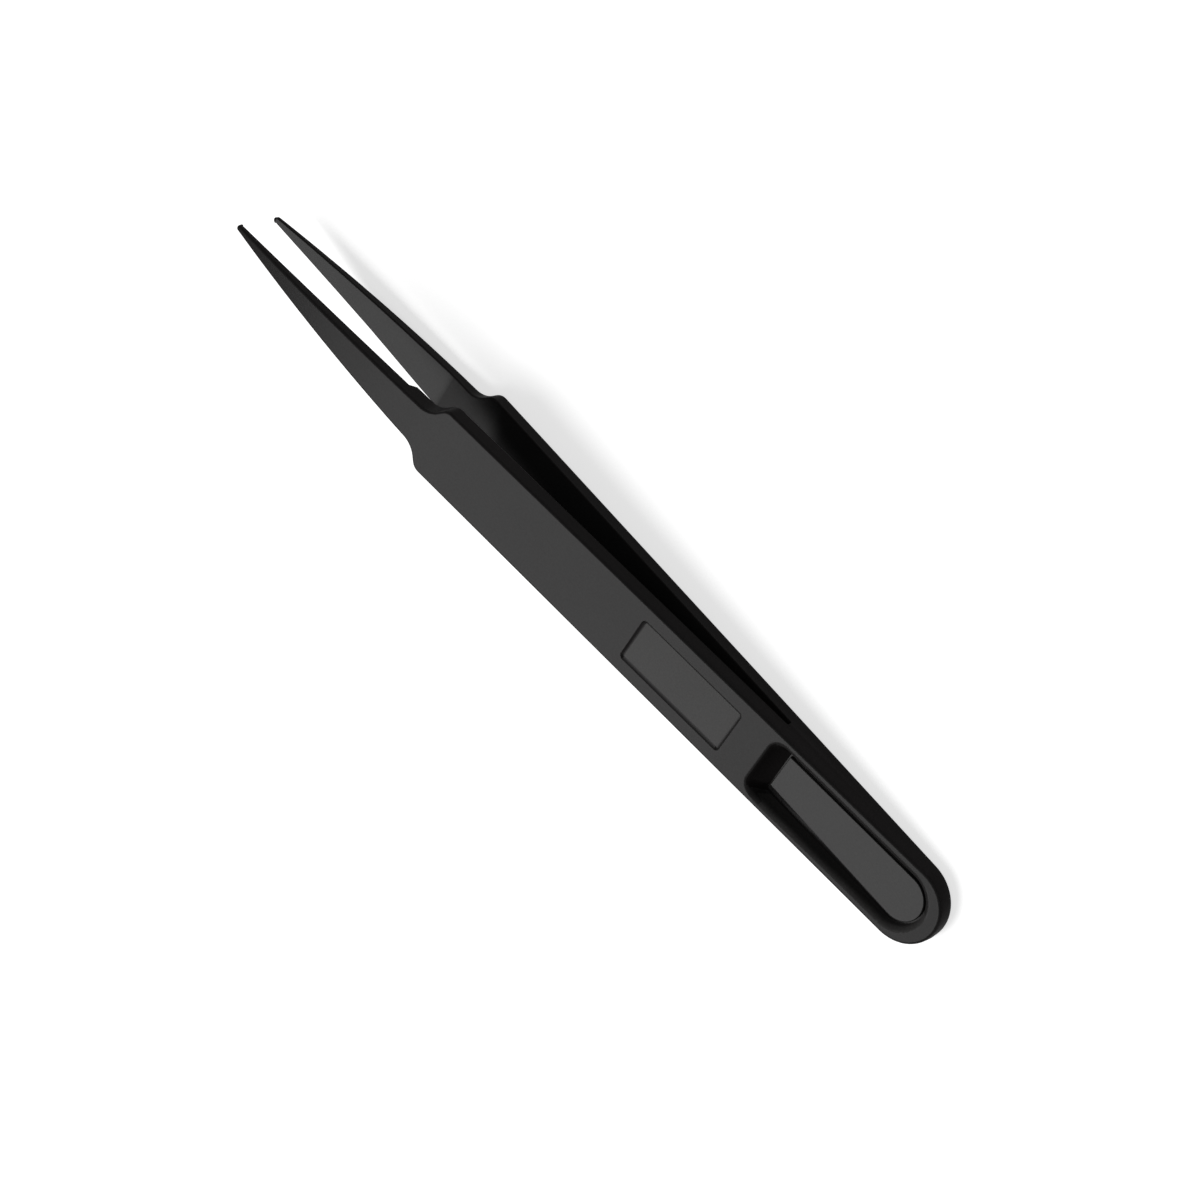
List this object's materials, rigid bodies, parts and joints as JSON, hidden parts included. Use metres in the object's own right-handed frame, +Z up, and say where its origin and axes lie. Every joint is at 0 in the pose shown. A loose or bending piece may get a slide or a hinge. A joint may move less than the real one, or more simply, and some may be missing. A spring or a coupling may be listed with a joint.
{
  "type": "anti-static plastic tweezers",
  "caption": "Slim moulded plastic tweezers with flat arms, a cored butt block with a raised tongue, S-shaped shoulders and fine pointed jaws.",
  "frame": {"origin": "centre of the bounding box in plan, on the surface that the tweezers lie on", "axes": "+X along the rear arm from the butt to the tips, +Y across the arms, +Z up through the front arm"},
  "size_m": [0.118, 0.01, 0.0112],
  "materials": {
    "black_plastic": "fine-grained satin to matte, dark grey-black, static-dissipative"
  },
  "bodies": {
    "root": {"tweezers_body": "black_plastic"}
  },
  "joints": []
}
